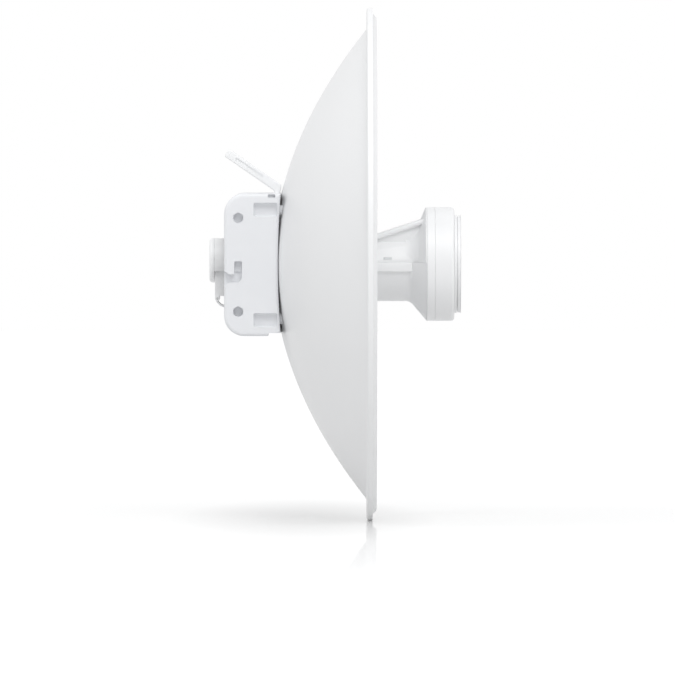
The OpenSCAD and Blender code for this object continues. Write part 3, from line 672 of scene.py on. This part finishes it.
def make_lever():
    """The latch lever at rest: raised arm, bent leg, hub and the foot that holds the feed."""
    rise = math.radians(34.6)
    swing = math.radians(35)
    length, half_t, tip_r = 50 * MM, 3.6 * MM, 1.8 * MM
    along = Vector((-math.cos(rise), math.sin(rise)))
    up = Vector((math.sin(rise), math.cos(rise)))
    bend = Vector((pivot.x + 2.8 * MM, pivot.z + 10.6 * MM))

    def arm(distance, side):
        p = bend + along * distance + up * side
        return (p.x, p.y)

    def near_pivot(x, z, radius):
        return (pivot.x + x * MM, pivot.z + z * MM, radius * MM)

    hub = 4.2
    profile = rounded([
        near_pivot(-hub, -hub, 4.1), near_pivot(hub, -hub, 4.1), near_pivot(hub, 1, 2),
        near_pivot(5.3, 6.2, 3), (*arm(-2.5 * MM, half_t), 3.4 * MM),
        (*arm(length, half_t), tip_r), (*arm(length, -half_t), tip_r),
        (*arm(-0.8 * MM, -half_t), 1.8 * MM), near_pivot(-2.4, 3.4, 2), near_pivot(-hub, 1, 1.5)
    ])
    half = lever_w / 2
    lever = slab("latch_lever_arm", profile, -half, half, 1.0 * MM, 4)
    foot_half_t, foot_half_w, foot_top, foot_reach = 1.6 * MM, 6 * MM, 2 * MM, 17.4 * MM
    foot = box("foot", (-foot_half_t, -foot_half_w, -foot_reach),
               (foot_half_t, foot_half_w, -foot_top), 0.5 * MM)
    foot.data.transform(Matrix.Translation(pivot) @ Matrix.Rotation(swing, 4, "Y"))
    combine(lever, [foot], "UNION")
    cutters = [
        rod("bore", (pivot.x, -lever_w, pivot.z), (0, 2 * lever_w, 0), pin_bore_r, BORE_SIDES)
    ]
    groove_from, groove_to, groove_half, groove_depth = 14 * MM, 41 * MM, 1.2 * MM, 0.8 * MM
    groove_round = 1.1 * MM
    for side in (-1, 1):
        groove = rounded([
            (*arm(groove_from, -groove_half), groove_round),
            (*arm(groove_to, -groove_half), groove_round),
            (*arm(groove_to, groove_half), groove_round),
            (*arm(groove_from, groove_half), groove_round)
        ])
        cutters.append(slab("groove", groove, side * (half - groove_depth), side * (half + CUT)))
    combine(lever, cutters, "DIFFERENCE")
    smooth(lever, 34)
    return dress(lever, "lever", "white_plastic", LEVER_WHITE, "latch_lever")


# ---------- feed ----------

def beam(name, outline, x_from, x_to):
    """Raises a cross-section of (y, z) points along X."""
    bm = bmesh.new()
    face = bm.faces.new([bm.verts.new((x_from, y, z)) for y, z in outline])
    raised = bmesh.ops.extrude_face_region(bm, geom=[face])["geom"]
    moved = [v for v in raised if isinstance(v, bmesh.types.BMVert)]
    bmesh.ops.translate(bm, verts=moved, vec=(x_to - x_from, 0, 0))
    bmesh.ops.recalc_face_normals(bm, faces=bm.faces)
    return to_object(name, bm)


def flare(base_r, slope, fillet, rim, inset, from_x):
    """Half the outline of a neck: straight, then a fillet and a cone out to the head."""
    steep = math.tan(math.radians(slope))
    cone_end = head_x - rim
    cone_start = cone_end - (head_r - base_r) / steep
    corners = [
        (base_r - inset, from_x, 0), (base_r - inset, cone_start + inset, fillet)
    ]
    if inset:
        return corners + [(head_r - inset - (cone_end + inset - head_x) * steep, head_x, 0)]
    if rim:
        corners.append((head_r, cone_end, 0.5 * MM))
    return corners + [(head_r, head_x, 0)]


LOWER_FLARE = (neck_r, 50, 8 * MM, 0)
UPPER_FLARE = (flat_y, 67.5, 12 * MM, 0.9 * MM)


def neck_spin(name, shape, from_x):
    """A hollow neck and flare, as a full turn."""
    outer = flare(*shape, 0, from_x)
    inner = flare(*shape, shell_t, from_x)
    return spun(name, rounded(outer + inner[::-1]))


def make_lower_neck():
    """The lower half of the neck: round, with a ledge along the narrower upper half."""
    shell = neck_spin("neck_lower_half", LOWER_FLARE, neck_x)
    above = box("above", (neck_x - CUT, -2 * head_r, split_z), (head_x + CUT, 2 * head_r, 2 * head_r))
    combine(shell, [above], "DIFFERENCE")
    sunk, proud, ledge_edge = 1.6 * MM, 2 * MM, 0.9 * MM
    ledge_end = head_x - 12 * MM
    ledges = [
        span("ledge", (neck_x, side * (neck_r - sunk), ledge_low),
             (ledge_end, side * (neck_r + proud), split_z), ledge_edge)
        for side in (-1, 1)
    ]
    combine(shell, ledges, "UNION")
    ease(shell, 0.4 * MM, 3, 40)
    smooth(shell, 32)
    return dress(shell, "feed", "white_plastic", FEED_WHITE, "neck_lower_shell")


def neck_section(inset):
    """The upper half's cross-section: flat sides that lean in, and a flat top."""
    spread, lean, shoulder = 1.5 * MM, 6 * MM, 2 * MM
    low, high, top = flat_y + spread - inset, flat_y - lean - inset, flat_top - inset
    foot_z = -10 * MM
    return rounded([
        (-low, foot_z, 0), (low, foot_z, 0), (low, split_z, 0), (high, top, shoulder),
        (-high, top, shoulder), (-low, split_z, 0)
    ])


def make_gusset():
    """The sloping rib on the upper half: a rounded rail on a narrower web."""
    slope = math.radians(18.4)
    half, rail_t, round_r = 21.5 * MM, 4.6 * MM, 2.2 * MM
    web_inset, web_h, web_sunk = 3.2 * MM, 24 * MM, 1 * MM
    start = Vector((head_x - 60 * MM, 0, flat_top))
    back, reach = -8 * MM, 64 * MM
    rail = beam("rail", rounded([
        (-half, -rail_t, round_r), (half, -rail_t, round_r), (half, 0, round_r), (-half, 0, round_r)
    ]), back, reach)
    web_half = half - web_inset
    web = beam("web", [
        (-web_half, -web_h), (web_half, -web_h), (web_half, -web_sunk), (-web_half, -web_sunk)
    ], back, reach)
    combine(rail, [web], "UNION")
    rail.data.transform(Matrix.Translation(start) @ Matrix.Rotation(-slope, 4, "Y"))
    room = box("room", (start.x - 10 * MM, -half - CUT, flat_top - web_sunk),
               (head_x - 0.5 * MM, half + CUT, 2 * head_r))
    return combine(rail, [room], "INTERSECT")


def make_upper_neck():
    """The upper half of the neck: leaning sides, a flat top, a steep flare and the rib."""
    shell = neck_spin("neck_upper_half", UPPER_FLARE, head_x - 17.2 * MM)
    shaft = beam("shaft", neck_section(0), neck_x, head_x - 2 * MM)
    combine(shell, [shaft], "UNION")
    hollow = beam("hollow", neck_section(shell_t), neck_x - CUT, head_x - 4 * MM)
    combine(shell, [hollow], "DIFFERENCE")
    combine(shell, [make_gusset()], "UNION")
    seam, play = 0.05 * MM, 0.1 * MM
    below = box("below", (neck_x - CUT, -2 * head_r, -2 * head_r),
                (head_x + CUT, 2 * head_r, split_z + seam))
    pipe_low, pipe_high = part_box("light_pipe")
    window = box("window", (pipe_low.x - play, -flat_y - CUT, pipe_low.z - play),
                 (pipe_high.x + play, -flat_y + 2 * shell_t, pipe_high.z + play))
    combine(shell, [below, window], "DIFFERENCE")
    ease(shell, 0.45 * MM, 3, 40)
    smooth(shell, 34)
    return dress(shell, "feed", "white_plastic", FEED_WHITE, "neck_upper_shell")


def make_head():
    """The head's rear ring and round front shell, with the seam between them."""
    inner_r, groove = head_r - shell_t, 0.35 * MM
    back_round, front_round, mouth_round, inner_round = 0.6 * MM, 2.4 * MM, 0.4 * MM, 1 * MM
    x0, x1 = head_ring_low.x, head_ring_high.x
    ring = spun("head_rear_ring", rounded([
        (inner_r, x0, 0), (head_r, x0, back_round), (head_r, x1, groove), (inner_r, x1, 0)
    ]))
    dress(smooth(ring), "feed", "white_plastic", FEED_WHITE, "head_ring")
    x0, x1 = head_low.x, head_high.x
    mouth_r = cap_high.z - 8 * MM
    shell = spun("head_front_shell", rounded([
        (inner_r, x0, 0), (head_r, x0, groove), (head_r, x1, front_round), (mouth_r, x1, mouth_round),
        (mouth_r, x1 - shell_t, 0), (inner_r, x1 - shell_t, inner_round)
    ]))
    dress(smooth(shell), "feed", "white_plastic", FEED_WHITE, "head_shell")


def make_front_cap():
    """The cap in the head's mouth: a seam round its edge and a slightly domed face."""
    x0, x1, cap_r = cap_low.x, cap_high.x, cap_high.z
    seam_x, seam, seam_depth = x0 + 2 * MM, 0.6 * MM, 1.8 * MM
    seam_end, seam_r = seam_x + seam, cap_r - seam_depth
    front_r, front_drop, front_round = cap_r - 0.4 * MM, 0.2 * MM, 0.45 * MM
    well_r, well_x, well_round = cap_r - 9 * MM, x1 - 2 * MM, 0.6 * MM
    face_r, face_round = front_r - 9 * MM, 8 * MM
    crisp, light = 0.25 * MM, 0.2 * MM
    cap = spun("front_cap_cover", [(0, well_x)] + rounded([
        (well_r, well_x, well_round), (well_r, x0, 0), (cap_r, x0, crisp),
        (cap_r, seam_x, crisp), (seam_r, seam_x, 0), (seam_r, seam_end, 0),
        (front_r, seam_end, light), (front_r, x1 - front_drop, front_round),
        (face_r, x1, face_round)
    ])[:-1] + [(0, x1)], closed=False)
    dress(smooth(cap), "feed", "cap_plastic", CAP_WHITE, "front_cap")


def make_tail_cap():
    """The round cover at the tail, with a soft rear edge and a shallow panel."""
    x0, x1 = tail_cap_low.x, tail_cap_high.x
    edge_x, edge_r, joint_round = x0 + 0.2 * MM, 2.6 * MM, 0.3 * MM
    panel_r, panel_lean, panel_x, panel_round = hood_r - 5 * MM, 0.6 * MM, x0 + 0.5 * MM, 0.5 * MM
    cap = spun("tail_cover", rounded([
        (0, x1, 0), (hood_r, x1, joint_round), (hood_r, edge_x, edge_r), (panel_r, x0, panel_round),
        (panel_r - panel_lean, panel_x, panel_round), (0, panel_x, 0)
    ]), closed=False, centre_z=hood_z)
    dress(smooth(cap), "feed", "white_plastic", FEED_WHITE, "tail_cap")


# ---------- fasteners ----------

def gather(name, things):
    """Puts the meshes of several solids together as one piece."""
    bm = bmesh.new()
    for thing in things:
        bm.from_mesh(thing.data)
        bpy.data.objects.remove(thing)
    return to_object(name, bm)


def make_dish_screws():
    """Four pan-headed screws with a hexagon socket, seen inside the bowl."""
    head_back, front, tip = washer_high.x + 0.05 * MM, screw_high.x, screw_low.x
    pan_r, pan_round, under_round = 4.6 * MM, 1.6 * MM, 0.3 * MM
    shank_r, tip_round, neck_round = 2.5 * MM, 0.6 * MM, 0.2 * MM
    socket_r, socket_depth = 2.3 * MM, 1.8 * MM
    screws = []
    for y in (-screw_y, screw_y):
        for z in (-screw_z, screw_z):
            screw = spun("screw", [(0, tip)] + rounded([
                (shank_r, tip, tip_round), (shank_r, head_back, neck_round),
                (pan_r, head_back, under_round), (pan_r, front, pan_round), (0, front, 0)
            ])[:-1] + [(0, front)], SMALL_STEPS, closed=False)
            screw.data.transform(Matrix.Translation((0, y, z)))
            socket = rod("socket", (front + CUT, y, z), (-CUT - socket_depth, 0, 0), socket_r, 6)
            combine(screw, [socket], "DIFFERENCE")
            screws.append(screw)
    piece = gather("pan_head_screws", screws)
    dress(smooth(piece, 30), "dish", "zinc_steel", STEEL, "dish_screws")


# ---------- pieces that keep their CAD form, with worked edges ----------

# name, CAD node, body, record slot, finish, edge radius in millimetres
EASED = [
    # the seat pads are partly painted shade: their dark rubber darkens the gap between bracket and dish
    ("seat_pads_and_gap_shade", "dish_pads", "dish", "seal_rubber", RUBBER_AND_GAP_SHADE, 0.5),
    ("feed_guide_collar", "feed_collar", "dish", "white_plastic", SHELL_WHITE, 0.5),
    ("plain_washers", "dish_washers", "dish", "zinc_steel", STEEL, 0.2),
    ("hexagon_nuts", "dish_nuts", "dish", "zinc_steel", STEEL, 0.3),
    ("lever_hinge_pin", "lever_pin", "dish", "zinc_steel", STEEL, 0.3),
    ("feed_barrel_body", "feed_barrel", "feed", "white_plastic", FEED_WHITE, 0.4),
    ("flange_seal", "barrel_seal", "feed", "seal_rubber", RUBBER_AND_GAP_SHADE, 0.2),
    ("status_light_guide", "light_pipe", "feed", "light_guide", GUIDE, 0.25),
    ("network_socket", "network_jack", "feed", "zinc_steel", STEEL, 0.3),
    ("socket_reset_button", "reset_button", "reset", "button_plastic", BUTTON_GREY, 0.25),
    ("tail_hood", "tail_shell", "feed", "white_plastic", FEED_WHITE, 0.5),
    ("tail_pan_screws", "tail_screws", "feed", "zinc_steel", STEEL, 0.5),
    ("port_flap", "port_door", "flap", "white_plastic", FEED_WHITE, 0.3),
    ("flap_hinge_pin", "door_pin", "feed", "zinc_steel", STEEL, 0.2),
    ("radio_shield_cans", "shield_cans", "feed", "zinc_steel", STEEL, 0.4)
]

# CAD nodes inside the feed that are shown as they are
INSIDE = {
    "cap_seal": RUBBER_AND_GAP_SHADE, "radiator_board": BOARD, "patch_plate": BRASS, "patch_posts": BRASS,
    "ground_plate": ALUMINIUM, "board_posts": ALUMINIUM, "radio_board": BOARD, "main_board": BOARD
}


def make_eased():
    for name, node, body, slot, material, radius in EASED:
        piece = ease(traced(name, node), radius * MM)
        dress(smooth(piece, 34), body, slot, material, node)
    for node, material in INSIDE.items():
        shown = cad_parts[node]
        shown.data.materials.clear()
        shown.data.materials.append(material)


# ---------- studio ----------

def make_camera():
    """A long lens, level with the dish's centre and a little above it."""
    camera = bpy.data.objects.new("camera", bpy.data.cameras.new("camera"))
    bpy.context.scene.collection.objects.link(camera)
    camera.data.sensor_width = 36
    camera.data.lens = LENS
    camera.data.clip_end = 100
    rise = math.radians(CAMERA_RISE)
    camera.location = CAMERA_AIM + CAMERA_AWAY * Vector((0, -math.cos(rise), math.sin(rise)))
    camera.rotation_euler = (math.pi / 2 - rise, 0, 0)
    bpy.context.scene.camera = camera


def background(nodes, colour, strength):
    """A plain background shader."""
    shader = nodes.new("ShaderNodeBackground")
    shader.inputs["Color"].default_value = (*colour, 1)
    shader.inputs["Strength"].default_value = strength
    return shader.outputs["Background"]


def make_world():
    """A pale room: white where it is looked at, a softer grey where it lights the object."""
    world = bpy.data.worlds.new("pale_room")
    bpy.context.scene.world = world
    world.use_nodes = True
    nodes, links = world.node_tree.nodes, world.node_tree.links
    nodes.clear()
    mix = nodes.new("ShaderNodeMixShader")
    out = nodes.new("ShaderNodeOutputWorld")
    links.new(seen_ray(nodes, links), mix.inputs["Fac"])
    links.new(background(nodes, (0.985, 0.99, 1), ROOM_LIGHT), mix.inputs[1])
    links.new(background(nodes, (1, 1, 1), 1), mix.inputs[2])
    links.new(mix.outputs["Shader"], out.inputs["Surface"])


def make_lamp(name, place, aim, size, power):
    """A large soft lamp that looks at a point."""
    lamp = bpy.data.objects.new(name, bpy.data.lights.new(name, "AREA"))
    bpy.context.scene.collection.objects.link(lamp)
    lamp.data.shape = "SQUARE"
    lamp.data.size = size
    lamp.data.energy = power
    lamp.location = place
    look = Vector(aim) - Vector(place)
    lamp.rotation_euler = look.to_track_quat("-Z", "Y").to_euler()


def maths(nodes, links, operation, first, second):
    """One sum of two values."""
    node = nodes.new("ShaderNodeMath")
    node.operation = operation
    links.new(first, node.inputs[0])
    links.new(second, node.inputs[1])
    return node.outputs["Value"]


def seen_ray(nodes, links):
    """1 for the rays that show a thing to the camera, straight or by way of metal and glass."""
    ray = nodes.new("ShaderNodeLightPath").outputs
    straight = maths(nodes, links, "MAXIMUM", ray["Is Camera Ray"], ray["Is Glossy Ray"])
    return maths(nodes, links, "MAXIMUM", straight, ray["Is Transmission Ray"])


def fading(nodes, links, distance, near, far, at_near, at_far):
    """A value that goes from one level to another with the distance."""
    ramp = nodes.new("ShaderNodeMapRange")
    ramp.inputs["From Min"].default_value = near
    ramp.inputs["From Max"].default_value = far
    ramp.inputs["To Min"].default_value = at_near
    ramp.inputs["To Max"].default_value = at_far
    links.new(distance, ramp.inputs["Value"])
    return ramp.outputs["Result"]


def away_from(nodes, links, place, point, stretch=(1, 1, 1)):
    """The distance from a point, on coordinates that may be stretched first."""
    drawn_out = nodes.new("ShaderNodeVectorMath")
    drawn_out.operation = "MULTIPLY"
    drawn_out.inputs[1].default_value = stretch
    links.new(place, drawn_out.inputs[0])
    distance = nodes.new("ShaderNodeVectorMath")
    distance.operation = "DISTANCE"
    distance.inputs[1].default_value = point
    links.new(drawn_out.outputs["Vector"], distance.inputs[0])
    return distance.outputs["Value"]


def make_floor():
    """A white floor under the dish with a weak reflection; seen from the camera it glows as painted
    light, weakly close to the dish and strongly further out, so the dish's soft shadow shows only near
    it.
    """
    bm = bmesh.new()
    bmesh.ops.create_grid(bm, x_segments=8, y_segments=8, size=7)
    bmesh.ops.translate(bm, verts=bm.verts, vec=(0, 0, dish_low.z - 0.02 * MM))
    floor = to_object("floor", bm)
    material, shader = finish("white_floor", (0.8, 0.8, 0.8), 0.5)
    nodes, links = material.node_tree.nodes, material.node_tree.links
    nodes.remove(shader)
    place = nodes.new("ShaderNodeTexCoord").outputs["Object"]
    under_rim = away_from(nodes, links, place, (dish_high.x, 0, dish_low.z))
    beside = away_from(nodes, links, place, (dish_high.x / 2, 0, dish_low.z), (1, 0.25, 1))
    matt = nodes.new("ShaderNodeBsdfDiffuse")
    matt.inputs["Color"].default_value = (*FLOOR_GREY, 1)
    # painted light: an emission seen by camera and glossy rays, weaker close to the dish, that whitens
    # the floor and hides shadows further out
    painted_glow = nodes.new("ShaderNodeEmission")
    painted_glow.inputs["Color"].default_value = (1, 1, 1, 1)
    lit = fading(nodes, links, beside, *GLOW_REACH, *FLOOR_GLOW)
    links.new(maths(nodes, links, "MULTIPLY", seen_ray(nodes, links), lit), painted_glow.inputs["Strength"])
    both = nodes.new("ShaderNodeAddShader")
    links.new(matt.outputs["BSDF"], both.inputs[0])
    links.new(painted_glow.outputs["Emission"], both.inputs[1])
    gloss = nodes.new("ShaderNodeBsdfGlossy")
    gloss.inputs["Roughness"].default_value = FLOOR_POLISH
    mix = nodes.new("ShaderNodeMixShader")
    links.new(fading(nodes, links, under_rim, *GLOSS_REACH, *FLOOR_GLOSS), mix.inputs["Fac"])
    links.new(both.outputs["Shader"], mix.inputs[1])
    links.new(gloss.outputs["BSDF"], mix.inputs[2])
    links.new(mix.outputs["Shader"], nodes["Material Output"].inputs["Surface"])
    floor.data.materials.append(material)


# The camera: its lens in millimetres, its height in degrees, its distance and what it looks at
LENS = 546
CAMERA_RISE = 1.3
CAMERA_AWAY = 8.4
CAMERA_AIM = Vector((0.081, 0, -0.0603))

# The floor: its own grey and polish, and pairs of near and far distances with their levels, for its
# painted glow and its gloss
FLOOR_GREY = (0.68, 0.68, 0.68)
FLOOR_POLISH = 0.03
GLOW_REACH = (0.02, 0.11)
FLOOR_GLOW = (0.25, 0.62)
GLOSS_REACH = (0, 3.5)
FLOOR_GLOSS = (0.62, 0)

ROOM_LIGHT = 0.64

# name, place, what it looks at, size in metres, power in watts
LAMPS = [
    ("key", (0.2, -1.8, 2.1), (0.08, 0, -0.05), 1.5, 28.5),
    ("upper_left", (-1.6, -0.6, 1.9), (0.05, 0, 0), 1.3, 10.5),
    ("right_front", (1.9, -1.5, 1.4), (0.1, 0, 0), 1.2, 9)
]

make_camera()
make_world()
for lamp in LAMPS:
    make_lamp(*lamp)
make_floor()
make_reflector()
make_rim_ring()
make_bracket()
make_lever()
make_lower_neck()
make_upper_neck()
make_head()
make_front_cap()
make_tail_cap()
make_dish_screws()
make_eased()

view = bpy.context.scene.view_settings
view.view_transform = "Standard"
